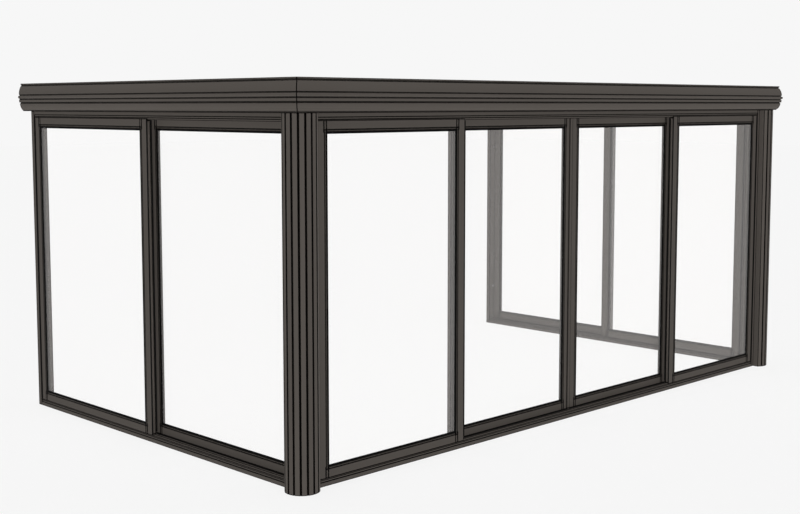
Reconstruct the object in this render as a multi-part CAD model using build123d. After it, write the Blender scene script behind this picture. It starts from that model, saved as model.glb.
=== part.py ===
from build123d import *
import math
import os

# A glazed room that stands against a house wall: sliding glazed leaves on three sides,
# fluted columns at the two front corners, a moulded cornice and a low glass roof behind it.
# Millimetres. +Z is up, the front faces -Y, and the open back at +Y is the house wall.

# Overall sizes
LENGTH = 5411.0          # front wall, over the outer faces of its sill
DEPTH = 3205.0           # front sill's outer face to the house wall
SOFFIT_Z = 2300.0        # ground to the underside of the cornice
FRONT_SPLIT = 1415.0     # front corner to the middle of a fixed leaf's lapped stile
SIDE_SPLIT = 1662.0      # the same on a side wall

# Sill and head tracks
TRACK_BASE = 28.0        # thickness of the sill and of the head behind the leaves
BED_HEIGHT = 13.0        # each track bed stands this far above the base
BED_MARGIN = 1.5         # bed beyond the leaf's face on each side
RAIL_HEIGHT = 14.0       # running rail above its bed
RAIL_WIDTH = 4.0

# Leaves, each one a framed pane
LEAF_THICK = 30.0
LEAF_SET = 5.0           # outer leaf's face behind the sill's outer face
LEAF_GAP = 37.0          # between the two tracks' leaves
LEAF_LIFT = 5.0          # daylight between a leaf and its track bed
STILE_WIDTH = 79.0
LAP_SHIFT = 17.0         # a sliding leaf's lapped stile beyond the fixed leaf's, off its pane
RAIL_FACE = 72.0         # height of a leaf's top and bottom rail
HOUSING = 20.0           # each rail is let into the stiles by this
JOINT_GAP = 0.3
GROOVE_WIDTH = 14.0      # groove in the leaf's edge, astride the running rail
RUN_GAP = 0.3            # between the running rail and the groove it carries
TOP_FREE = 5.0           # the same groove's play at the head
SIDE_FREE = 6.0          # sliding leaf to its jamb, and between the two that meet
SCORE_WIDTH = 3.0        # line scored across a rail at its joint and where the glass edge runs on
SCORE_DEPTH = 2.0
FIN_THICK = 3.0          # interlock fin on a fixed leaf's lapped stile
FIN_CLEAR = 6.0          # fin to the face of the leaf that slides past it

# Glass and its gaskets
GLASS_THICK = 8.0
GASKET_THICK = 3.0
PANE_FORWARD = 6.0       # middle of the pane outside the middle of its leaf
GLAZING_DEPTH = 15.0     # glazing groove round the inside of a leaf
GLASS_BITE = 12.0        # how far the pane stands in that groove
GASKET_PROUD = 11.0      # lip of the outer gasket seen round the glass
INNER_PROUD = 3.0        # lip of the inner gasket

# Posts and jambs
WALL_POST = 42.0         # width of the post against the house wall
POST_BOLT_R = 5.5        # anchor holes through a wall post, into the house wall
POST_BOLT_LOW = 400.0
POST_BOLT_HIGH = 1900.0
JAMB_WIDTH = 32.0        # jamb between a corner column and its leaves
JAMB_SET = 2.0           # jamb's inner face behind the column's inner face
COLUMN_CENTRE = 34.0     # centre of the rounded face, in from both wall faces
COLUMN_RADIUS = 111.0
FACETS = 8
FACET_ANGLE = 22.5
FLUTE_WIDTH = 4.2        # half the width of the groove at each edge between two facets
FLUTE_DEPTH = 5.0

# Cornice: how far each part of the moulding stands out, and its height above the soffit
CORNICE_HEIGHT = 209.0
CORNICE_FOOT = 72.0
COVE_OUT = 92.0
COVE_RISE = 59.0
BAND_OUT = 99.0
BAND_RISE = 88.0
BEAD_OUT = 106.0
BEAD_RISE = 117.0
CROWN_OUT = 82.0
CROWN_RISE = 190.0
LINE_HEIGHT = 7.0        # shadow line cut at the foot and between two parts of the moulding
LINE_DEPTH = 5.0
CORNICE_WALL = 6.0       # thickness of the moulding's wall
MITRE_GAP = 0.8          # open joint where two runs meet at a corner
ARC_SAG = 5.0            # bulge of the moulding's rounded parts

# Roof
GUTTER_WIDTH = 54.0
GUTTER_WALL = 3.0
EAVES_HEIGHT = 64.0
BEAM_WALL = 4.0
ROOF_RISE = 108.0        # fall of the glass from the house wall to the eaves beam
ROOF_SEAT = 4.0          # glass above the eaves beam at its inner face
BAYS = 8
RAFTER_WIDTH = 60.0
RAFTER_DEPTH = 120.0
WALL_BEAM = 60.0
ROOF_GLASS = 16.0
PANE_GAP = 12.0
GLASS_OVERHANG = 10.0    # roof glass beyond the eaves beam, over the gutter
CAP_HEIGHT = 10.0
FLASHING = 4.0
FLASHING_WIDTH = 90.0
SIDE_LEG = 40.0          # upstand leg of the side flashing, in from the beam's inner face

# Places that follow from the sizes
FRAME_DEPTH = 2 * LEAF_SET + 2 * LEAF_THICK + LEAF_GAP
OUTER_V = LEAF_SET + LEAF_THICK / 2
INNER_V = OUTER_V + LEAF_THICK + LEAF_GAP
BED_TOP = TRACK_BASE + BED_HEIGHT
RAIL_TOP = BED_TOP + RAIL_HEIGHT
LEAF_FOOT = BED_TOP + LEAF_LIFT
LEAF_HEAD = SOFFIT_Z - LEAF_FOOT
OPENING_START = FRAME_DEPTH + JAMB_WIDTH
TOP_Z = SOFFIT_Z + CORNICE_HEIGHT
HALF = LENGTH / 2
Y_FRONT = (BEAD_OUT - DEPTH) / 2
SLOPE = ROOF_RISE / (DEPTH - FRAME_DEPTH)


def bar(u0, u1, v0, v1, z0, z1):
    """A straight bar from two corners: u along the wall, v inwards, z up."""
    size = Box(u1 - u0, v1 - v0, z1 - z0, align=(Align.MIN, Align.MIN, Align.MIN))
    return Pos(u0, v0, z0) * size


def run_profile(points, u0, u1):
    """An extrusion along the wall from a closed outline of (v, z) points."""
    face = make_face(Polyline([(u0, v, z) for v, z in points], close=True))
    return extrude(face, amount=u1 - u0, dir=(1, 0, 0))


def on_front(shape):
    """Wall coordinates to the front wall, measured from its left corner."""
    return Pos(-HALF, Y_FRONT, 0) * shape


def on_right(shape):
    """Wall coordinates to the right wall, measured from the front corner."""
    return Location((HALF, Y_FRONT, 0), (0, 0, 90)) * shape


def flipped(shape):
    """The same piece on the other half of the room."""
    return mirror(shape, about=Plane.YZ)


def track_outline(foot, up):
    """Outline of a track: a base, two beds and a running rail on each bed."""
    points = [(0, 0), (0, TRACK_BASE)]
    for centre in (OUTER_V, INNER_V):
        near = centre - LEAF_THICK / 2 - BED_MARGIN
        far = centre + LEAF_THICK / 2 + BED_MARGIN
        points += [(near, TRACK_BASE), (near, BED_TOP)]
        points += [(centre - RAIL_WIDTH / 2, BED_TOP), (centre - RAIL_WIDTH / 2, RAIL_TOP)]
        points += [(centre + RAIL_WIDTH / 2, RAIL_TOP), (centre + RAIL_WIDTH / 2, BED_TOP)]
        points += [(far, BED_TOP), (far, TRACK_BASE)]
    points += [(FRAME_DEPTH, TRACK_BASE), (FRAME_DEPTH, 0)]
    return [(v, foot + up * z) for v, z in points]


def sill_track(u0, u1):
    return run_profile(track_outline(0, 1), u0, u1)


def head_track(u0, u1):
    return run_profile(track_outline(SOFFIT_Z, -1), u0, u1)


def glazing_groove(v):
    """The two faces of the groove that holds the pane and its gaskets, in a leaf at v."""
    half = GLASS_THICK / 2 + GASKET_THICK
    return v - PANE_FORWARD - half, v - PANE_FORWARD + half


def stile(u0, glass_at, v):
    """A full-height stile from u0, its glazing groove on the side towards glass_at."""
    near, far = v - LEAF_THICK / 2, v + LEAF_THICK / 2
    inwards = 1 if glass_at > u0 else -1
    inner = u0 + STILE_WIDTH if inwards > 0 else u0
    post = bar(u0, u0 + STILE_WIDTH, near, far, LEAF_FOOT, LEAF_HEAD)
    cheek = sorted((inner, inner - inwards * HOUSING))
    post -= bar(*cheek, near, far, LEAF_FOOT, LEAF_FOOT + RAIL_FACE + JOINT_GAP)
    post -= bar(*cheek, near, far, LEAF_HEAD - RAIL_FACE - JOINT_GAP, LEAF_HEAD)
    slot = sorted((inner, inner - inwards * GLAZING_DEPTH))
    post -= bar(*slot, *glazing_groove(v), LEAF_FOOT, LEAF_HEAD)
    return post


def leaf_rail(u0, u1, v, z0, z1, glass_above):
    """A rail between u0 and u1, with its glazing groove and the lines scored across it."""
    near, far = v - LEAF_THICK / 2, v + LEAF_THICK / 2
    rail = bar(u0, u1, near, far, z0, z1)
    slot = (z1 - GLAZING_DEPTH, z1) if glass_above else (z0, z0 + GLAZING_DEPTH)
    rail -= bar(u0, u1, *glazing_groove(v), *slot)
    glass_edge = HOUSING - JOINT_GAP
    for line in (u0, u0 + glass_edge, u1 - glass_edge - SCORE_WIDTH, u1 - SCORE_WIDTH):
        rail -= bar(line, line + SCORE_WIDTH, near, near + SCORE_DEPTH, z0, z1)
        rail -= bar(line, line + SCORE_WIDTH, far - SCORE_DEPTH, far, z0, z1)
    return rail


def interlock_fin(lap, v):
    """A fin down the middle of a lapped stile, into the gap before the leaf that slides past."""
    face = v + LEAF_THICK / 2
    return bar(lap - FIN_THICK / 2, lap + FIN_THICK / 2, face, face + LEAF_GAP - FIN_CLEAR,
               LEAF_FOOT, LEAF_HEAD)


def leaf_frame(u0, u1, v, lap=None):
    """Two stiles and two rails, grooved at foot and head to stand astride the rails.

    A fixed leaf has its interlock fin on the stile whose middle is at lap."""
    inset = STILE_WIDTH - HOUSING + JOINT_GAP
    members = [
        stile(u0, u1, v),
        stile(u1 - STILE_WIDTH, u0, v),
        leaf_rail(u0 + inset, u1 - inset, v, LEAF_FOOT, LEAF_FOOT + RAIL_FACE, True),
        leaf_rail(u0 + inset, u1 - inset, v, LEAF_HEAD - RAIL_FACE, LEAF_HEAD, False),
    ]
    if lap is not None:
        lapped = 0 if lap < (u0 + u1) / 2 else 1
        members[lapped] += interlock_fin(lap, v)
    sides = (v - GROOVE_WIDTH / 2, v + GROOVE_WIDTH / 2)
    foot_groove = bar(u0, u1, *sides, LEAF_FOOT, RAIL_TOP + RUN_GAP)
    head_groove = bar(u0, u1, *sides, SOFFIT_Z - RAIL_TOP - TOP_FREE, LEAF_HEAD)
    return [member - foot_groove - head_groove for member in members]


def daylight(u0, u1):
    """The glass seen in a leaf: lowest and highest u, lowest and highest z."""
    return u0 + STILE_WIDTH, u1 - STILE_WIDTH, LEAF_FOOT + RAIL_FACE, LEAF_HEAD - RAIL_FACE


def leaf_glass(u0, u1, v):
    left, right, low, high = daylight(u0, u1)
    outer, inner = glazing_groove(v)
    return bar(left - GLASS_BITE, right + GLASS_BITE, outer + GASKET_THICK, inner - GASKET_THICK,
               low - GLASS_BITE, high + GLASS_BITE)


def leaf_gaskets(u0, u1, v):
    """A rubber frame on each face of the pane, between the pane and the leaf's lip."""
    left, right, low, high = daylight(u0, u1)
    outer, inner = glazing_groove(v)
    rings = []
    for v0, proud in ((outer, GASKET_PROUD), (inner - GASKET_THICK, INNER_PROUD)):
        v1 = v0 + GASKET_THICK
        ring = bar(left - GLASS_BITE, right + GLASS_BITE, v0, v1,
                   low - GLASS_BITE, high + GLASS_BITE)
        ring -= bar(left + proud, right - proud, v0, v1, low + proud, high - proud)
        rings.append(ring)
    return rings


def column_outline():
    """Plan of a corner column: fluted facets outside, the last ones cut off flush with the post."""
    def corner(edge, radius=COLUMN_RADIUS, turn=0):
        angle = math.radians(225 + (FACETS / 2 - edge) * FACET_ANGLE) + turn
        return COLUMN_CENTRE + radius * math.cos(angle), COLUMN_CENTRE + radius * math.sin(angle)

    end_u, end_v = corner(0)
    next_u, next_v = corner(1)
    cut = next_v + (FRAME_DEPTH - next_u) * (end_v - next_v) / (end_u - next_u)
    turn = FLUTE_WIDTH / COLUMN_RADIUS
    points = [(FRAME_DEPTH, cut)]
    for edge in range(1, FACETS):
        points += [corner(edge, turn=turn), corner(edge, COLUMN_RADIUS - FLUTE_DEPTH),
                   corner(edge, turn=-turn)]
    return points + [(cut, FRAME_DEPTH), (FRAME_DEPTH, FRAME_DEPTH)]


def corner_column():
    face = make_face(Polyline([(a, b, 0) for a, b in column_outline()], close=True))
    return extrude(face, amount=SOFFIT_Z, dir=(0, 0, 1))


def corner_jambs():
    """The jambs that close the front wall and the side wall against one column."""
    deep = FRAME_DEPTH - JAMB_SET
    return [bar(FRAME_DEPTH, OPENING_START, 0, deep, 0, SOFFIT_Z),
            bar(0, deep, FRAME_DEPTH, OPENING_START, 0, SOFFIT_Z)]


def wall_post():
    """The post on the house wall, drilled for two anchors."""
    post = bar(DEPTH - WALL_POST, DEPTH, 0, FRAME_DEPTH, 0, SOFFIT_Z)
    for z in (POST_BOLT_LOW, POST_BOLT_HIGH):
        drill = Cylinder(POST_BOLT_R, WALL_POST, rotation=(0, 90, 0))
        post -= Pos(DEPTH - WALL_POST / 2, FRAME_DEPTH / 2, z) * drill
    return post


def cornice_section():
    """Section of the hollow moulding, standing out from the wall face towards -v."""
    def at(out, rise):
        return (0, -out, SOFFIT_Z + rise)

    def bulge(start, end):
        middle = ((start[0] + end[0]) / 2 + ARC_SAG, (start[1] + end[1]) / 2)
        return ThreePointArc(at(*start), at(*middle), at(*end))

    def shadow_line(out, rise, next_out):
        """A narrow recess between the part below and the part above."""
        return Polyline(at(out, rise), at(out - LINE_DEPTH, rise),
                        at(out - LINE_DEPTH, rise + LINE_HEIGHT), at(next_out, rise + LINE_HEIGHT))

    cove_foot = CORNICE_FOOT - LINE_DEPTH
    band_foot = COVE_OUT + LINE_DEPTH
    bead_foot = BAND_RISE + LINE_HEIGHT
    crown_foot = (BAND_OUT, BEAD_RISE + LINE_HEIGHT)
    outside = [
        Polyline(at(0, 0), at(cove_foot, 0), at(cove_foot, LINE_HEIGHT),
                 at(CORNICE_FOOT, LINE_HEIGHT)),
        bulge((CORNICE_FOOT, LINE_HEIGHT), (COVE_OUT, COVE_RISE)),
        shadow_line(COVE_OUT, COVE_RISE, band_foot),
        Line(at(band_foot, COVE_RISE + LINE_HEIGHT), at(BAND_OUT, BAND_RISE)),
        shadow_line(BAND_OUT, BAND_RISE, BAND_OUT),
        ThreePointArc(at(BAND_OUT, bead_foot), at(BEAD_OUT, (bead_foot + BEAD_RISE) / 2),
                      at(BAND_OUT, BEAD_RISE)),
        shadow_line(BAND_OUT, BEAD_RISE, BAND_OUT),
        bulge(crown_foot, (CROWN_OUT, CROWN_RISE)),
        shadow_line(CROWN_OUT, CROWN_RISE, CROWN_OUT),
        Polyline(at(CROWN_OUT, CROWN_RISE + LINE_HEIGHT), at(CROWN_OUT, CORNICE_HEIGHT),
                 at(0, CORNICE_HEIGHT), at(0, 0)),
    ]
    wall = CORNICE_WALL
    behind = LINE_DEPTH + wall
    inside = Polyline([
        at(wall, wall), at(CORNICE_FOOT - behind, wall), at(COVE_OUT - behind, COVE_RISE),
        at(BAND_OUT - behind, BAND_RISE), at(BAND_OUT - behind, crown_foot[1]),
        at(CROWN_OUT - behind, CROWN_RISE), at(CROWN_OUT - behind, CORNICE_HEIGHT - wall),
        at(wall, CORNICE_HEIGHT - wall)], close=True)
    return make_face(outside) - make_face(inside)


def cornice_run(length, far_mitre):
    """One run of the moulding, mitred at u = 0 and, if asked, at its far end."""
    over = 2 * BEAD_OUT
    gap = MITRE_GAP / 2
    moulding = Pos(-over, 0, 0) * extrude(cornice_section(), amount=length + 2 * over, dir=(1, 0, 0))
    end = [(length - gap, 0), (length - gap + over, -over)] if far_mitre else [(length, 0), (length, -over)]
    plan = [(gap - over, -over), (gap, 0)] + end
    wedge = make_face(Polyline([(u, v, 0) for u, v in plan], close=True))
    return moulding & extrude(wedge, amount=TOP_Z + over, dir=(0, 0, 1))


def seat(v):
    """Height of the underside of the roof glass at a distance v behind the sill's face."""
    return SOFFIT_Z + EAVES_HEIGHT + ROOF_SEAT + (v - FRAME_DEPTH) * SLOPE


def raked(u0, u1, v0, v1, low, high):
    """A bar that falls with the roof, from low to high above the glass's underside."""
    return run_profile([(v0, seat(v0) + low), (v1, seat(v1) + low),
                        (v1, seat(v1) + high), (v0, seat(v0) + high)], u0, u1)


def hollow(u0, u1, v0, v1, z0, z1, wall):
    """A box tube, open at both ends."""
    tube = bar(u0, u1, v0, v1, z0, z1)
    return tube - bar(u0, u1, v0 + wall, v1 - wall, z0 + wall, z1 - wall)


def front_eaves_beam():
    return hollow(FRAME_DEPTH, LENGTH - FRAME_DEPTH, GUTTER_WIDTH, FRAME_DEPTH,
                  SOFFIT_Z, SOFFIT_Z + EAVES_HEIGHT, BEAM_WALL)


def side_eaves_beam():
    return hollow(0, DEPTH, 0, FRAME_DEPTH, SOFFIT_Z, SOFFIT_Z + EAVES_HEIGHT, BEAM_WALL)


def gutter():
    """The channel that takes the roof's water, between the cornice and the front beam."""
    start, end = FRAME_DEPTH, LENGTH - FRAME_DEPTH
    wall = GUTTER_WALL
    trough = bar(start, end, 0, GUTTER_WIDTH, SOFFIT_Z, SOFFIT_Z + EAVES_HEIGHT)
    return trough - bar(start + wall, end - wall, wall, GUTTER_WIDTH - wall,
                        SOFFIT_Z + wall, SOFFIT_Z + EAVES_HEIGHT)


def rafter_centres():
    first = FRAME_DEPTH + RAFTER_WIDTH / 2
    pitch = (LENGTH - 2 * first) / BAYS
    return [first + pitch * bay for bay in range(BAYS + 1)]


def rafters():
    back = DEPTH - WALL_BEAM
    return [raked(u - RAFTER_WIDTH / 2, u + RAFTER_WIDTH / 2, FRAME_DEPTH, back, -RAFTER_DEPTH, 0)
            for u in rafter_centres()]


def roof_panes():
    centres = rafter_centres()
    return [raked(left + PANE_GAP / 2, right - PANE_GAP / 2,
                  GUTTER_WIDTH - GLASS_OVERHANG, DEPTH, 0, ROOF_GLASS)
            for left, right in zip(centres, centres[1:])]


def rafter_caps():
    """Pressure caps over the joints between the panes."""
    return [raked(u - RAFTER_WIDTH / 2, u + RAFTER_WIDTH / 2,
                  GUTTER_WIDTH - GLASS_OVERHANG, DEPTH, ROOF_GLASS, ROOF_GLASS + CAP_HEIGHT)
            for u in rafter_centres()[1:-1]]


def wall_beam():
    """The beam on the house wall, its foot level and its top raked under the glass."""
    near = DEPTH - WALL_BEAM
    foot = seat(FRAME_DEPTH) - RAFTER_DEPTH
    return run_profile([(near, foot), (DEPTH, foot), (DEPTH, seat(DEPTH)), (near, seat(near))],
                       FRAME_DEPTH, LENGTH - FRAME_DEPTH)


def wall_flashing():
    """A folded strip over the top end of the glass, turned up against the house wall."""
    edge = FRAME_DEPTH + SIDE_LEG
    low = ROOF_GLASS + CAP_HEIGHT
    near = DEPTH - FLASHING_WIDTH
    turn = DEPTH - FLASHING
    return run_profile([(near, seat(near) + low), (DEPTH, seat(DEPTH) + low), (DEPTH, TOP_Z),
                        (turn, TOP_Z), (turn, seat(turn) + low + FLASHING),
                        (near, seat(near) + low + FLASHING)], edge, LENGTH - edge)


def side_flashing():
    """A folded sheet from the side cornice's top edge down to the end pane."""
    edge = FRAME_DEPTH + SIDE_LEG
    start = GUTTER_WIDTH - GLASS_OVERHANG
    glass_top = [(v, seat(v) + ROOF_GLASS) for v in (start, DEPTH)]
    leg = run_profile(glass_top + [(DEPTH, TOP_Z), (start, TOP_Z)], edge - FLASHING, edge)
    return leg + bar(0, edge, 0, DEPTH, TOP_Z - FLASHING, TOP_Z)


nodes = {}


def add(name, shapes, *places):
    """Put a piece, or a list of like pieces, in a node at one place or at several."""
    listed = shapes if isinstance(shapes, list) else [shapes]
    placed = [place(shape) for place in places for shape in listed]
    nodes.setdefault(name, []).extend(solid for shape in placed for solid in shape.solids())


def add_pair(name, shapes, place):
    """A piece on one side of the room and its mirror image on the other."""
    add(name.format("left"), shapes, lambda shape: flipped(place(shape)))
    add(name.format("right"), shapes, place)


def on_front_right(shape):
    """Front wall coordinates counted from the right corner instead of the left."""
    return flipped(on_front(shape))


def add_leaf(name, u0, u1, v, place, gaskets, lap=None):
    """One leaf and its mirror image: the frame, its pane and its two gaskets."""
    add_pair(name, leaf_frame(u0, u1, v, lap), place)
    add_pair(name + "_glass", leaf_glass(u0, u1, v), place)
    add_pair(gaskets, leaf_gaskets(u0, u1, v), place)


side_end = DEPTH - WALL_POST
front_fixed_end = FRONT_SPLIT + STILE_WIDTH / 2
front_sliding_start = FRONT_SPLIT - STILE_WIDTH / 2 + LAP_SHIFT
side_fixed_start = SIDE_SPLIT - STILE_WIDTH / 2
side_sliding_end = SIDE_SPLIT + STILE_WIDTH / 2 - LAP_SHIFT

add("front_sill", sill_track(OPENING_START, LENGTH - OPENING_START), on_front)
add("front_head", head_track(OPENING_START, LENGTH - OPENING_START), on_front)
add_pair("{}_sill", sill_track(OPENING_START, side_end), on_right)
add_pair("{}_head", head_track(OPENING_START, side_end), on_right)
add_pair("{}_corner_column", corner_column(), on_front_right)
add_pair("{}_corner_jambs", corner_jambs(), on_front_right)
add_pair("{}_wall_post", wall_post(), on_right)

add_leaf("front_{}_fixed_leaf", OPENING_START + JOINT_GAP, front_fixed_end, OUTER_V,
         on_front_right, "fixed_leaf_gaskets", FRONT_SPLIT)
add_leaf("front_{}_sliding_leaf", front_sliding_start, HALF - SIDE_FREE / 2, INNER_V,
         on_front_right, "front_{}_sliding_leaf_gaskets")
add_leaf("{}_side_fixed_leaf", side_fixed_start, side_end - JOINT_GAP, OUTER_V,
         on_right, "fixed_leaf_gaskets", SIDE_SPLIT)
add_leaf("{}_side_sliding_leaf", OPENING_START + SIDE_FREE, side_sliding_end, INNER_V,
         on_right, "{}_side_sliding_leaf_gaskets")

add("front_cornice", cornice_run(LENGTH, True), on_front)
add_pair("{}_cornice", cornice_run(DEPTH, False), on_right)
add("front_eaves_beam", front_eaves_beam(), on_front)
add_pair("{}_eaves_beam", side_eaves_beam(), on_right)
add("front_gutter", gutter(), on_front)
add("wall_beam", wall_beam(), on_front)
add("rafters", rafters(), on_front)
add("roof_panes", roof_panes(), on_front)
add("rafter_caps", rafter_caps(), on_front)
add("roof_flashings", wall_flashing(), on_front)
add("roof_flashings", side_flashing(), on_front, on_front_right)

os.makedirs("parts", exist_ok=True)
for name, solids in nodes.items():
    export_step(Compound(solids) if len(solids) > 1 else solids[0], "parts/" + name + ".step")
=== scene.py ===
# The looks of a glazed conservatory: dark satin-coated aluminium frames with black rubber
# gaskets, clear glazing, fluted corner columns, a moulded cornice and a low glass roof.
# Metres. The front faces -Y and the open back at +Y stands against the house wall.
import math

import bmesh
import bpy
import numpy as np
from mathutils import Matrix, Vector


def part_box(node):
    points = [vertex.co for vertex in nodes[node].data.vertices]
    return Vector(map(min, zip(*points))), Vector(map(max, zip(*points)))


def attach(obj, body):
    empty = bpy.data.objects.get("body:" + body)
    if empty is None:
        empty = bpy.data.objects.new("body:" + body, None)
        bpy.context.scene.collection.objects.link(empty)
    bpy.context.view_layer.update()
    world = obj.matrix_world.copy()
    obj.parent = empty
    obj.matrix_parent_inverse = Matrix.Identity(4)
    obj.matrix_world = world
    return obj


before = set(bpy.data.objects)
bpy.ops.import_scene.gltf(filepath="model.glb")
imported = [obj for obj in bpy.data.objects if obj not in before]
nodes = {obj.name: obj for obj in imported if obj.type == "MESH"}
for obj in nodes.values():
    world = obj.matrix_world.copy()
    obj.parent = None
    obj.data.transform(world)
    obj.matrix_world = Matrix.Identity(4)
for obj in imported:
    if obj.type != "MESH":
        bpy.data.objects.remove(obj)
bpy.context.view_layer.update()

# Sills and heads: two-track aluminium extrusions, laid on the ground and fixed under the
# cornice. The powder coat is a dark warm grey, satin, with a fine grain. Every edge carries the
# thin dark line of the drawn original, and joints and crevices, where another part stands close,
# are darkened with painted shade.
COAT = (0.0590, 0.0525, 0.0470)
COAT_SOFT = (0.0650, 0.0580, 0.0520)
COAT_ROUGHNESS = 0.55
COAT_GLOSS = 0.02
TONE_SCALE = 1.3
# The near-black of the drawn lines, which is also the colour of the painted shade in crevices.
LINE_AND_SHADE_INK = (0.0008, 0.0006, 0.0005)
LINE_SAMPLES = 24
LINE_STARTS = 0.9984
LINE_FULL = 0.996
# Painted shade in crevices: how close another surface must stand, and how fast the shade deepens.
CREVICE_SHADE_REACH = 0.005
CREVICE_SHADE_SAMPLES = 6
CREVICE_SHADE_STARTS = 0.75
CREVICE_SHADE_FULL = 0.45
GRAIN_SCALE = 900.0
GRAIN_STRENGTH = 0.06
GRAIN_DEPTH = 0.0003
TRACK_LINE = 0.006


def new_material(name):
    """An empty node material: its node tree, and a function that adds a node."""
    material = bpy.data.materials.new(name)
    material.use_nodes = True
    tree = material.node_tree
    tree.nodes.clear()

    def node(kind, **inputs):
        made = tree.nodes.new(kind)
        for socket, value in inputs.items():
            made.inputs[socket.replace("_", " ")].default_value = value
        return made

    return material, tree, node


def colour_mix(node, **ends):
    """A mix node between colours A and B, of which those with a colour of their own are given."""
    mix = node("ShaderNodeMix")
    mix.data_type = "RGBA"
    for end, colour in ends.items():
        mix.inputs[end].default_value = (*colour, 1.0)
    return mix


def falling_range(node, starts, full):
    """A range node that rises from 0 to 1 as its value falls from one level to another."""
    fall = node("ShaderNodeMapRange")
    fall.inputs["From Min"].default_value = starts
    fall.inputs["From Max"].default_value = full
    return fall


def coated_metal(name, colour, soft_colour, roughness, line_reach):
    """Satin powder coat. Colour drifts a little over the metre, edges are inked dark as drawn lines,
    and crevices are darkened with painted shade: an edge is where the normal, averaged within
    line_reach, leaves the face's own normal, and a crevice is where another surface stands within
    the crevice shade reach."""
    material, tree, node = new_material(name)
    link = tree.links.new
    out = node("ShaderNodeOutputMaterial")
    shader = node("ShaderNodeBsdfPrincipled", Roughness=roughness)
    shader.inputs["Specular IOR Level"].default_value = COAT_GLOSS
    link(shader.outputs["BSDF"], out.inputs["Surface"])

    where = node("ShaderNodeTexCoord")
    drift = node("ShaderNodeTexNoise", Scale=TONE_SCALE, Detail=2.0)
    tone = colour_mix(node, A=colour, B=soft_colour)
    link(where.outputs["Object"], drift.inputs["Vector"])
    link(drift.outputs["Fac"], tone.inputs["Factor"])

    rounded = node("ShaderNodeBevel", Radius=line_reach)
    rounded.samples = LINE_SAMPLES
    face = node("ShaderNodeNewGeometry")
    along = node("ShaderNodeVectorMath")
    along.operation = "DOT_PRODUCT"
    edge = falling_range(node, LINE_STARTS, LINE_FULL)
    link(rounded.outputs["Normal"], along.inputs[0])
    link(face.outputs["True Normal"], along.inputs[1])
    link(along.outputs["Value"], edge.inputs["Value"])

    # Painted shade: the base colour darkens where another surface stands close, as in a crevice or joint.
    open_air = node("ShaderNodeAmbientOcclusion", Distance=CREVICE_SHADE_REACH)
    open_air.samples = CREVICE_SHADE_SAMPLES
    painted_crevice_shade = falling_range(node, CREVICE_SHADE_STARTS, CREVICE_SHADE_FULL)
    link(open_air.outputs["AO"], painted_crevice_shade.inputs["Value"])

    # The darker of the drawn edge line and the painted crevice shade sets how far the colour goes to
    # near-black.
    line_and_shade = node("ShaderNodeMath")
    line_and_shade.operation = "MAXIMUM"
    inked_and_shaded = colour_mix(node, B=LINE_AND_SHADE_INK)
    link(edge.outputs["Result"], line_and_shade.inputs[0])
    link(painted_crevice_shade.outputs["Result"], line_and_shade.inputs[1])
    link(line_and_shade.outputs[0], inked_and_shaded.inputs["Factor"])
    link(tone.outputs["Result"], inked_and_shaded.inputs["A"])
    link(inked_and_shaded.outputs["Result"], shader.inputs["Base Color"])

    grain = node("ShaderNodeTexNoise", Scale=GRAIN_SCALE, Detail=1.0)
    bump = node("ShaderNodeBump", Strength=GRAIN_STRENGTH, Distance=GRAIN_DEPTH)
    link(where.outputs["Object"], grain.inputs["Vector"])
    link(grain.outputs["Fac"], bump.inputs["Height"])
    link(bump.outputs["Normal"], shader.inputs["Normal"])
    return material


def dress(names, material):
    """Give CAD nodes their finish."""
    for name in names:
        mesh = nodes[name].data
        mesh.materials.clear()
        mesh.materials.append(material)


track_coat = coated_metal("satin_coated_tracks", COAT, COAT_SOFT, COAT_ROUGHNESS, TRACK_LINE)
dress([name for name in nodes if name.endswith(("_sill", "_head"))], track_coat)

# Corner columns: one fluted extrusion at each front corner, in the same coat, with a groove
# between each two facets. Their drawn line is a little broader than the tracks' one.
COLUMN_LINE = 0.007

column_coat = coated_metal("satin_coated_columns", COAT, COAT_SOFT, COAT_ROUGHNESS, COLUMN_LINE)
dress([name for name in nodes if name.endswith("_column")], column_coat)

# Jambs, wall posts, eaves beams, wall beam and rafters: hollow sections of the same make and
# coat as the leaves, screwed together at the corners and to the house wall.
SECTION_LINE = 0.010

section_coat = coated_metal("satin_coated_leaf_sections", COAT, COAT_SOFT, COAT_ROUGHNESS, SECTION_LINE)
dress([name for name in nodes if name.endswith(("_jambs", "_wall_post", "_beam", "rafters"))], section_coat)

# Wall post anchors: two stainless bolts hold each wall post to the house wall. Their hexagon
# heads stand on the post's face, over its anchor holes.
ROOM = "house_frame"
ANCHOR_HEIGHTS = (0.400, 1.900)
ANCHOR_RADIUS = 0.009
ANCHOR_HEIGHT = 0.006
ANCHOR_RINGS = ((1.0, 0.0), (1.0, 0.85), (0.88, 1.0))
ANCHOR_SIDES = 6
NEARLY_ALONG = 0.9
STEEL = (0.42, 0.43, 0.44)
STEEL_GRAIN = 1800.0
STEEL_SMOOTH = 0.30
STEEL_ROUGH = 0.48


def ring_outline(rings, radius, foot, height):
    """The outline of a turned head, whose rings are given as shares of its radius and of its
    height above its foot."""
    return [(radius * out, foot + height * up) for out, up in rings]


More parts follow.
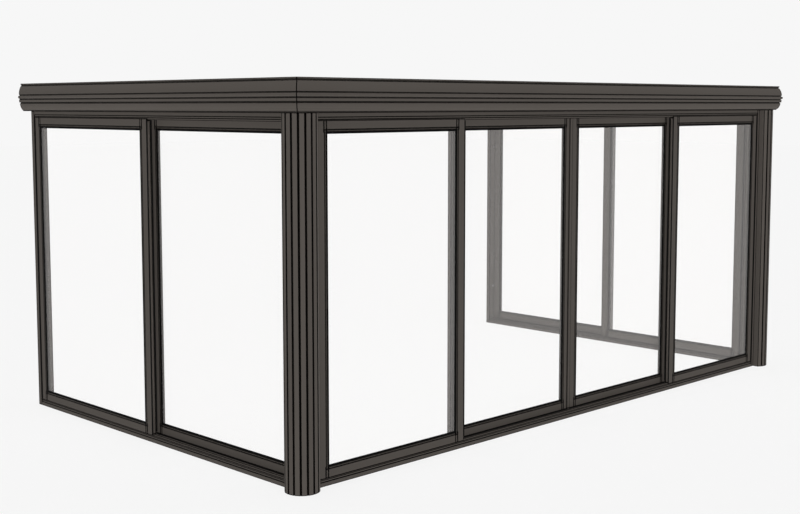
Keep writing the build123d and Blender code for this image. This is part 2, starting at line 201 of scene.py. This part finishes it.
def turned_head(outline, centre, axis, sides):
    """A turned head on a flat seat. Ring k of the outline, (radius, height), is swept round the
    axis: each point is centre + height * axis + radius * (cos t * u + sin t * w). The last ring
    closes as one face, and so does the seat."""
    axis = np.asarray(axis, dtype=float)
    aside = np.cross(axis, (0.0, 1.0, 0.0) if abs(axis[1]) < NEARLY_ALONG else (1.0, 0.0, 0.0))
    aside /= np.linalg.norm(aside)
    other = np.cross(axis, aside)
    turn = np.arange(sides) * 2 * np.pi / sides
    spoke = np.cos(turn)[:, None] * aside + np.sin(turn)[:, None] * other
    radius, height = np.asarray(outline, dtype=float).T
    points = np.asarray(centre) + height[:, None, None] * axis + radius[:, None, None] * spoke
    rings = len(outline)
    row, step = np.meshgrid(np.arange(rings - 1) * sides, np.arange(sides), indexing="ij")
    after = (step + 1) % sides
    walls = np.stack([row + step, row + after, row + sides + after, row + sides + step], axis=-1)
    seat = list(range(sides))
    crown = list(range((rings - 1) * sides, rings * sides))
    return points.reshape(-1, 3), [*walls.reshape(-1, 4).tolist(), seat, crown]


def add_piece(name, parts, material, body):
    """One object from a list of (points, faces), with its faces turned outwards."""
    starts = np.cumsum([0] + [len(points) for points, faces in parts])
    faces = [[corner + int(start) for corner in face]
             for start, (points, part_faces) in zip(starts, parts) for face in part_faces]
    mesh = bpy.data.meshes.new(name)
    mesh.from_pydata(np.concatenate([points for points, part_faces in parts]).tolist(), [], faces)
    shell = bmesh.new()
    shell.from_mesh(mesh)
    bmesh.ops.recalc_face_normals(shell, faces=shell.faces)
    shell.to_mesh(mesh)
    shell.free()
    mesh.materials.append(material)
    piece = bpy.data.objects.new(name, mesh)
    bpy.context.scene.collection.objects.link(piece)
    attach(piece, body)


def bright_steel(name):
    """Brushed stainless steel: a fine turned grain sets its roughness."""
    material, tree, node = new_material(name)
    link = tree.links.new
    where = node("ShaderNodeTexCoord")
    turned = node("ShaderNodeTexNoise", Scale=STEEL_GRAIN, Detail=2.0)
    wear = node("ShaderNodeMapRange", To_Min=STEEL_SMOOTH, To_Max=STEEL_ROUGH)
    shader = node("ShaderNodeBsdfPrincipled", Metallic=1.0, Base_Color=(*STEEL, 1.0))
    out = node("ShaderNodeOutputMaterial")
    link(where.outputs["Object"], turned.inputs["Vector"])
    link(turned.outputs["Fac"], wear.inputs["Value"])
    link(wear.outputs["Result"], shader.inputs["Roughness"])
    link(shader.outputs["BSDF"], out.inputs["Surface"])
    return material


steel = bright_steel("stainless_steel")
anchor_outline = ring_outline(ANCHOR_RINGS, ANCHOR_RADIUS, 0.0, ANCHOR_HEIGHT)
anchor_places = []
for post in ("left_wall_post", "right_wall_post"):
    post_low, post_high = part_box(post)
    post_middle = (post_low[0] + post_high[0]) / 2
    anchor_places += [(post_middle, post_low[1], height) for height in ANCHOR_HEIGHTS]
add_piece("wall_post_anchors",
          [turned_head(anchor_outline, place, (0.0, -1.0, 0.0), ANCHOR_SIDES) for place in anchor_places],
          steel, ROOM)

# Cornice: a moulded run on each of the three walls, of crown, bead, band and cove, formed in
# coated aluminium and mitred at the two front corners. Its drawn line is thinner.
MOULDING_LINE = 0.005

moulding_coat = coated_metal("satin_coated_mouldings", COAT, COAT_SOFT, COAT_ROUGHNESS, MOULDING_LINE)
dress([name for name in nodes if name.endswith("_cornice")], moulding_coat)

# Roof panes: laminated glass on the rafters, a little green, with the faint white veil that
# each sheet of glass lays over what stands behind it.
ROOF_TINT = (0.84, 0.90, 0.89, 1.0)
ROOF_VEIL = 0.10
GLASS_ROUGHNESS = 0.03
GLASS_INDEX = 1.5


def clear_glass(name, tint, veil):
    """Clear glass: each face of a pane hides what is behind it by its veil, and no more."""
    material, tree, node = new_material(name)
    shader = node("ShaderNodeBsdfPrincipled", Base_Color=tint, Roughness=GLASS_ROUGHNESS,
                  IOR=GLASS_INDEX, Alpha=veil)
    out = node("ShaderNodeOutputMaterial")
    tree.links.new(shader.outputs["BSDF"], out.inputs["Surface"])
    return material


dress(["roof_panes"], clear_glass("laminated_roof_glass", ROOF_TINT, ROOF_VEIL))

# Gutter, flashings and the caps over the roof joints: folded sheet and cap sections in the
# same coat, a little more matt because they lie out of sight and weather.
SHEET_COAT = (0.046, 0.039, 0.034)
SHEET_COAT_SOFT = (0.057, 0.049, 0.043)
SHEET_ROUGHNESS = 0.62
SHEET_LINE = 0.004

sheet_coat = coated_metal("coated_roof_sheet", SHEET_COAT, SHEET_COAT_SOFT, SHEET_ROUGHNESS, SHEET_LINE)
dress(["front_gutter", "roof_flashings", "rafter_caps"], sheet_coat)

# Roof cap screws: each cap is held down to its rafter by a row of stainless pan-head screws,
# with a recess in the head, on black rubber sealing washers.
SCREW_PITCH = 0.30
SCREW_EDGE = 0.09
SCREW_RADIUS = 0.0065
SCREW_HEIGHT = 0.0035
SCREW_RINGS = ((1.0, 0.0), (1.0, 0.45), (0.90, 0.75), (0.62, 0.95), (0.30, 1.0))
RECESS_SHARE = 0.30
RECESS_FLOOR = 0.001
WASHER_RADIUS = 0.009
WASHER_HEIGHT = 0.0015
WASHER_RINGS = ((1.0, 0.0), (1.0, 0.6))
WASHER_ROUND = 0.0008
SCREW_SIDES = 16
CAP_END_BAND = 0.001
CAP_SIDE_DECIMALS = 4
RUBBER = (0.0015, 0.0015, 0.0015)
RUBBER_WORN = (0.0035, 0.0035, 0.0035)
RUBBER_ROUGHNESS = 0.75
RUBBER_GLOSS = 0.04
RUBBER_STREAKS = 260.0


def black_rubber(name):
    """Matt black rubber with a faint streak."""
    material, tree, node = new_material(name)
    link = tree.links.new
    shader = node("ShaderNodeBsdfPrincipled", Roughness=RUBBER_ROUGHNESS)
    shader.inputs["Specular IOR Level"].default_value = RUBBER_GLOSS
    where = node("ShaderNodeTexCoord")
    streak = node("ShaderNodeTexNoise", Scale=RUBBER_STREAKS, Detail=1.0)
    shade = colour_mix(node, A=RUBBER, B=RUBBER_WORN)
    out = node("ShaderNodeOutputMaterial")
    link(where.outputs["Object"], streak.inputs["Vector"])
    link(streak.outputs["Fac"], shade.inputs["Factor"])
    link(shade.outputs["Result"], shader.inputs["Base Color"])
    link(shader.outputs["BSDF"], out.inputs["Surface"])
    return material


rubber = black_rubber("black_rubber")
cap_points = np.empty(len(nodes["rafter_caps"].data.vertices) * 3)
nodes["rafter_caps"].data.vertices.foreach_get("co", cap_points)
cap_points = cap_points.reshape(-1, 3)
cap_sides = np.unique(np.round(cap_points[:, 0], CAP_SIDE_DECIMALS))
cap_middles = (cap_sides[0::2] + cap_sides[1::2]) / 2
cap_front, cap_back = cap_points[:, 1].min(), cap_points[:, 1].max()
cap_front_top = cap_points[cap_points[:, 1] < cap_front + CAP_END_BAND][:, 2].max()
cap_back_top = cap_points[:, 2].max()
cap_fall = (cap_back_top - cap_front_top) / (cap_back - cap_front)
cap_normal = np.array([0.0, -cap_fall, 1.0]) / math.hypot(1.0, cap_fall)
screw_count = int((cap_back - cap_front - 2 * SCREW_EDGE) / SCREW_PITCH) + 1
screw_rows = np.linspace(cap_front + SCREW_EDGE, cap_back - SCREW_EDGE, screw_count)
screw_places = [(x, y, cap_front_top + (y - cap_front) * cap_fall)
                for x in cap_middles for y in screw_rows]
washer_outline = [*ring_outline(WASHER_RINGS, WASHER_RADIUS, 0.0, WASHER_HEIGHT),
                  (WASHER_RADIUS - WASHER_ROUND, WASHER_HEIGHT)]
screw_outline = [*ring_outline(SCREW_RINGS, SCREW_RADIUS, WASHER_HEIGHT, SCREW_HEIGHT),
                 (SCREW_RADIUS * RECESS_SHARE, WASHER_HEIGHT + RECESS_FLOOR)]
add_piece("roof_cap_washers",
          [turned_head(washer_outline, place, cap_normal, SCREW_SIDES) for place in screw_places],
          rubber, ROOM)
add_piece("roof_cap_screws",
          [turned_head(screw_outline, place, cap_normal, SCREW_SIDES) for place in screw_places],
          steel, ROOM)

# Leaves: hollow coated aluminium sections, the rails let into the stiles. The outer leaves are
# fixed at their jamb or wall post, and the inner ones slide on their track.
dress([name for name in nodes if name.endswith("_leaf")], section_coat)

# Leaf panes: clear toughened glass, held in the glazing groove round each leaf. Their veil is
# fainter than the roof's, because they are half as thick.
PANE_TINT = (0.875, 0.850, 0.836, 1.0)
PANE_VEIL = 0.066

pane_glass = clear_glass("clear_toughened_glass", PANE_TINT, PANE_VEIL)
dress([name for name in nodes if name.endswith("_glass")], pane_glass)

# Gaskets: extruded black rubber, pressed in round both faces of every pane, matt, with the
# fine drag lines of the die along their length.
dress([name for name in nodes if name.endswith("_gaskets")], rubber)

# Interlock brushes: black pile in an extruded channel on the tip of each fixed leaf's fin. It
# fills the gap between the fin and the leaf that slides past it.
LAPPED_STILE = 0.079
STRIP_INSET = 0.012
STRIP_ROOT = 0.0005
FIN_PILE_WIDTH = 0.005
FIN_PILE_LENGTH = 0.0055
PILE_COLOUR = (0.004, 0.004, 0.004)
PILE_TIPS = (0.012, 0.012, 0.012)
PILE_STRETCH = (1.0, 1.0, 0.05)
PILE_SCALE = 2200.0
PILE_STRENGTH = 0.4
PILE_DEPTH = 0.0006
PILE_ROUGHNESS = 0.95
PILE_GLOSS = 0.02


def straight_bar(profile, across, up, start, end):
    """A closed bar. Corner (a, b) of the profile lies at start + a * across + b * up, and its
    fellow at end + a * across + b * up; squares join the two rings and each ring is a face."""
    corners = np.asarray(profile, dtype=float)
    ring = corners[:, :1] * np.asarray(across, dtype=float) + corners[:, 1:] * np.asarray(up, dtype=float)
    points = np.concatenate([ring + np.asarray(start), ring + np.asarray(end)])
    count = len(corners)
    here = np.arange(count)
    after = (here + 1) % count
    sides = np.stack([here, after, after + count, here + count], axis=1).tolist()
    return points, [*sides, list(range(count)), list(range(count, 2 * count))]


def block(low, high):
    """A closed bar along z that fills the box between two corners."""
    (x0, y0, z0), (x1, y1, z1) = low, high
    outline = [(x0, y0), (x1, y0), (x1, y1), (x0, y1)]
    return straight_bar(outline, (1, 0, 0), (0, 1, 0), (0, 0, z0), (0, 0, z1))


def ends_along_wall(leaf):
    """A fixed leaf's ends along its wall: the one at its jamb or post, then the free one."""
    low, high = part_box(leaf)
    along = 0 if leaf.startswith("front") else 1
    ends = low[along], high[along]
    return ends if leaf.startswith("front_left") else ends[::-1]


def upright_strip(leaf, run, depth):
    """An upright bar on a leaf, a little short of its foot and head. run gives the bar's two
    ends along the wall, and depth its two faces, outwards from the leaf's outer face."""
    low, high = (np.array(corner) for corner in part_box(leaf))
    across = 1 if leaf.startswith("front") else 0
    face, outwards = (high[across], 1) if leaf.startswith("right") else (low[across], -1)
    low[1 - across], high[1 - across] = sorted(run)
    low[across], high[across] = sorted(face + outwards * away for away in depth)
    low[2] += STRIP_INSET
    high[2] -= STRIP_INSET
    return block(low, high)


def fin_brush(leaf):
    """The pile on a fixed leaf's fin, which stands inwards in the middle of the lapped stile.
    The fin's tip is the innermost reach of the leaf's box, a whole box behind its outer face."""
    fixed_end, free_end = ends_along_wall(leaf)
    fin = free_end - math.copysign(LAPPED_STILE / 2, free_end - fixed_end)
    low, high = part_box(leaf)
    across = 1 if leaf.startswith("front") else 0
    tip = low[across] - high[across]
    return upright_strip(leaf, (fin - FIN_PILE_WIDTH / 2, fin + FIN_PILE_WIDTH / 2),
                         (tip + STRIP_ROOT, tip - FIN_PILE_LENGTH))


def brush_pile(name):
    """Fine upright fibres: a noise stretched along z sets both the shade and the relief."""
    material, tree, node = new_material(name)
    link = tree.links.new
    where = node("ShaderNodeTexCoord")
    stretch = node("ShaderNodeMapping", Scale=PILE_STRETCH)
    fibres = node("ShaderNodeTexNoise", Scale=PILE_SCALE, Detail=1.0)
    shade = colour_mix(node, A=PILE_COLOUR, B=PILE_TIPS)
    bump = node("ShaderNodeBump", Strength=PILE_STRENGTH, Distance=PILE_DEPTH)
    shader = node("ShaderNodeBsdfPrincipled", Roughness=PILE_ROUGHNESS)
    shader.inputs["Specular IOR Level"].default_value = PILE_GLOSS
    out = node("ShaderNodeOutputMaterial")
    link(where.outputs["Object"], stretch.inputs["Vector"])
    link(stretch.outputs["Vector"], fibres.inputs["Vector"])
    link(fibres.outputs["Fac"], shade.inputs["Factor"])
    link(fibres.outputs["Fac"], bump.inputs["Height"])
    link(shade.outputs["Result"], shader.inputs["Base Color"])
    link(bump.outputs["Normal"], shader.inputs["Normal"])
    link(shader.outputs["BSDF"], out.inputs["Surface"])
    return material


pile = brush_pile("black_pile_brush")
fixed_leaves = sorted(name for name in nodes if name.endswith("_fixed_leaf"))
add_piece("interlock_brushes", [fin_brush(leaf) for leaf in fixed_leaves], pile, ROOM)

# Track brushes: the same pile let into the foot and head of each sliding leaf, on both sides
# of the groove that runs on the rail. It closes the daylight over and under the leaf.
TRACK_PILE_NEAR = 0.0100
TRACK_PILE_FAR = 0.0145
TRACK_PILE_LENGTH = 0.0047


def track_brushes(leaf):
    """Four runs of pile, two under the leaf and two over it, either side of its groove."""
    low, high = (np.array(corner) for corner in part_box(leaf))
    along = 0 if leaf.startswith("front") else 1
    across = 1 - along
    middle = (low[across] + high[across]) / 2
    runs = []
    for side in (-1, 1):
        near, far = middle + side * TRACK_PILE_NEAR, middle + side * TRACK_PILE_FAR
        for edge, reach in ((low[2], -TRACK_PILE_LENGTH), (high[2], TRACK_PILE_LENGTH)):
            start, end = low.copy(), high.copy()
            start[along] += STRIP_INSET
            end[along] -= STRIP_INSET
            start[across], end[across] = min(near, far), max(near, far)
            start[2], end[2] = sorted((edge - math.copysign(STRIP_ROOT, reach), edge + reach))
            runs.append(block(start, end))
    return runs


for leaf in sorted(name for name in nodes if name.endswith("_sliding_leaf")):
    add_piece(leaf + "_track_brushes", track_brushes(leaf), pile, leaf)

# Flap seals: a flat black rubber lip along the free edge of each fixed leaf's lapped stile, just
# behind its outer face, pressed into a slot there. It breaks the wind before the brush does.
FLAP_REACH = 0.0080
FLAP_THICK = 0.0025
FLAP_BACK = 0.0005


def flap_seal(leaf):
    """A bar that reaches past the leaf's free end, behind its outer face."""
    fixed_end, free_end = ends_along_wall(leaf)
    past = math.copysign(1.0, free_end - fixed_end)
    return upright_strip(leaf, (free_end - past * STRIP_ROOT, free_end + past * FLAP_REACH),
                         (-FLAP_BACK, -FLAP_BACK - FLAP_THICK))


add_piece("lap_flap_seals", [flap_seal(leaf) for leaf in fixed_leaves], rubber, ROOM)

# Joint beads: black sealant run up the corner between each fixed leaf and the jamb or wall post
# that it is fixed to, on the weather side.
BEAD_WIDTH = 0.0095
BEAD_PROUD = 0.0035


def joint_bead(leaf):
    """A bar on the leaf's outer face, from its fixed end inwards."""
    fixed_end, free_end = ends_along_wall(leaf)
    inner = fixed_end + math.copysign(BEAD_WIDTH, free_end - fixed_end)
    return upright_strip(leaf, (fixed_end, inner), (-STRIP_ROOT, BEAD_PROUD))


add_piece("fixed_leaf_joint_beads", [joint_bead(leaf) for leaf in fixed_leaves], rubber, ROOM)

# Meeting cover: a coated strip screwed to the edge of the left middle leaf, whose lip covers the
# gap between the two leaves that meet and stands clear of the right one.
COVER_LEFT = -0.028
COVER_RIGHT = 0.005
COVER_WEB_RIGHT = -0.0045
LIP_CLEAR = 0.005
LIP_THICK = 0.003
COVER_INSET = 0.006
COVER_CHAMFER = 0.001

meeting_low, meeting_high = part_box("front_left_sliding_leaf")
leaf_face = meeting_low[1]
lip_back = leaf_face - LIP_CLEAR
lip_front = lip_back - LIP_THICK
cover_profile = [(COVER_LEFT, leaf_face), (COVER_LEFT, lip_front + COVER_CHAMFER),
                 (COVER_LEFT + COVER_CHAMFER, lip_front), (COVER_RIGHT - COVER_CHAMFER, lip_front),
                 (COVER_RIGHT, lip_front + COVER_CHAMFER), (COVER_RIGHT, lip_back),
                 (COVER_WEB_RIGHT, lip_back), (COVER_WEB_RIGHT, leaf_face)]
add_piece("meeting_cover_strip",
          [straight_bar(cover_profile, (1, 0, 0), (0, 1, 0), (0, 0, meeting_low[2] + COVER_INSET),
                        (0, 0, meeting_high[2] - COVER_INSET))],
          track_coat, "front_left_sliding_leaf")

# Floor: a plain pale sheet that keeps the room's soft shadow and runs out to the same white
# as the background.
FLOOR_REACH = 60.0
FLOOR_DROP = 0.001
PAPER = (0.93, 0.93, 0.93, 1.0)
WHITE_SHARE = 0.75


def seen_by_eye(tree):
    """1 for what the eye sees straight, mirrored or through glass, and 0 for what only lights
    the room: the largest of the three kinds of ray."""
    path = tree.nodes.new("ShaderNodeLightPath")
    seen = path.outputs["Is Camera Ray"]
    for way in ("Is Glossy Ray", "Is Transmission Ray"):
        either = tree.nodes.new("ShaderNodeMath")
        either.operation = "MAXIMUM"
        tree.links.new(seen, either.inputs[0])
        tree.links.new(path.outputs[way], either.inputs[1])
        seen = either.outputs[0]
    return seen


def studio_paper(name):
    """White paper, part of which shines to the eye so that it matches the background."""
    material, tree, node = new_material(name)
    link = tree.links.new
    matt = node("ShaderNodeBsdfDiffuse", Color=PAPER)
    white = node("ShaderNodeEmission", Color=PAPER, Strength=1.0)
    share = node("ShaderNodeMath")
    share.operation = "MULTIPLY"
    share.inputs[1].default_value = WHITE_SHARE
    mix = node("ShaderNodeMixShader")
    out = node("ShaderNodeOutputMaterial")
    link(seen_by_eye(tree), share.inputs[0])
    link(share.outputs[0], mix.inputs[0])
    link(matt.outputs["BSDF"], mix.inputs[1])
    link(white.outputs["Emission"], mix.inputs[2])
    link(mix.outputs[0], out.inputs["Surface"])
    return material


floor_mesh = bpy.data.meshes.new("studio_floor")
floor_mesh.from_pydata([(x * FLOOR_REACH, y * FLOOR_REACH, -FLOOR_DROP)
                        for x, y in ((-1, -1), (1, -1), (1, 1), (-1, 1))], [], [(0, 1, 2, 3)])
floor_mesh.materials.append(studio_paper("studio_paper"))
floor = bpy.data.objects.new("studio_floor", floor_mesh)
bpy.context.scene.collection.objects.link(floor)

# Light: an even white surround, and six broad lamps without shadows, one from each side, so
# that colours render as they are written. What the eye sees of the surround is paper white.
SURROUND = 0.35
FILL = 1.95

world = bpy.data.worlds.new("even_surround")
bpy.context.scene.world = world
world.use_nodes = True
sky = world.node_tree
sky.nodes.clear()
sky_out = sky.nodes.new("ShaderNodeOutputWorld")
sky_mix = sky.nodes.new("ShaderNodeMixShader")
sky_light = sky.nodes.new("ShaderNodeBackground")
sky_light.inputs["Color"].default_value = (1.0, 1.0, 1.0, 1.0)
sky_light.inputs["Strength"].default_value = SURROUND
sky_paper = sky.nodes.new("ShaderNodeBackground")
sky_paper.inputs["Color"].default_value = PAPER
sky.links.new(seen_by_eye(sky), sky_mix.inputs[0])
sky.links.new(sky_light.outputs[0], sky_mix.inputs[1])
sky.links.new(sky_paper.outputs[0], sky_mix.inputs[2])
sky.links.new(sky_mix.outputs[0], sky_out.inputs["Surface"])

fills = {"front": (90, 0), "back": (-90, 0), "left": (90, -90), "right": (90, 90),
         "top": (0, 0), "foot": (180, 0)}
for side, (lean, swing) in fills.items():
    lamp = bpy.data.lights.new(side + "_fill", "SUN")
    lamp.energy = FILL
    lamp.use_shadow = False
    lamp_object = bpy.data.objects.new(side + "_fill", lamp)
    lamp_object.rotation_euler = (math.radians(lean), 0.0, math.radians(swing))
    lamp_object.visible_glossy = False
    bpy.context.scene.collection.objects.link(lamp_object)

# Camera: at a tall person's eye level above the front left corner, turned to see the left side
# and the front, its picture shifted so that upright edges close up as they do in the drawing.
EYE = (-7.4813, -7.2540, 2.3444)
TURN = 44.538
NOD = -5.352
TILT = 0.031
SENSOR_WIDTH = 36.0
FOCAL_PIXELS = 1252.6
PICTURE_WIDTH = 800
PICTURE_HEIGHT = 514
AXIS_ROW = 222.42
FARTHEST = 500.0

lens = bpy.data.cameras.new("front_left_camera")
lens.sensor_width = SENSOR_WIDTH
lens.lens = SENSOR_WIDTH * FOCAL_PIXELS / PICTURE_WIDTH
lens.shift_y = (AXIS_ROW - PICTURE_HEIGHT / 2) / PICTURE_WIDTH
lens.clip_end = FARTHEST
camera = bpy.data.objects.new("front_left_camera", lens)
camera.location = EYE
camera.rotation_euler = (math.radians(90 + NOD), math.radians(TILT), math.radians(-TURN))
bpy.context.scene.collection.objects.link(camera)
bpy.context.scene.camera = camera
bpy.context.scene.view_settings.view_transform = "Standard"
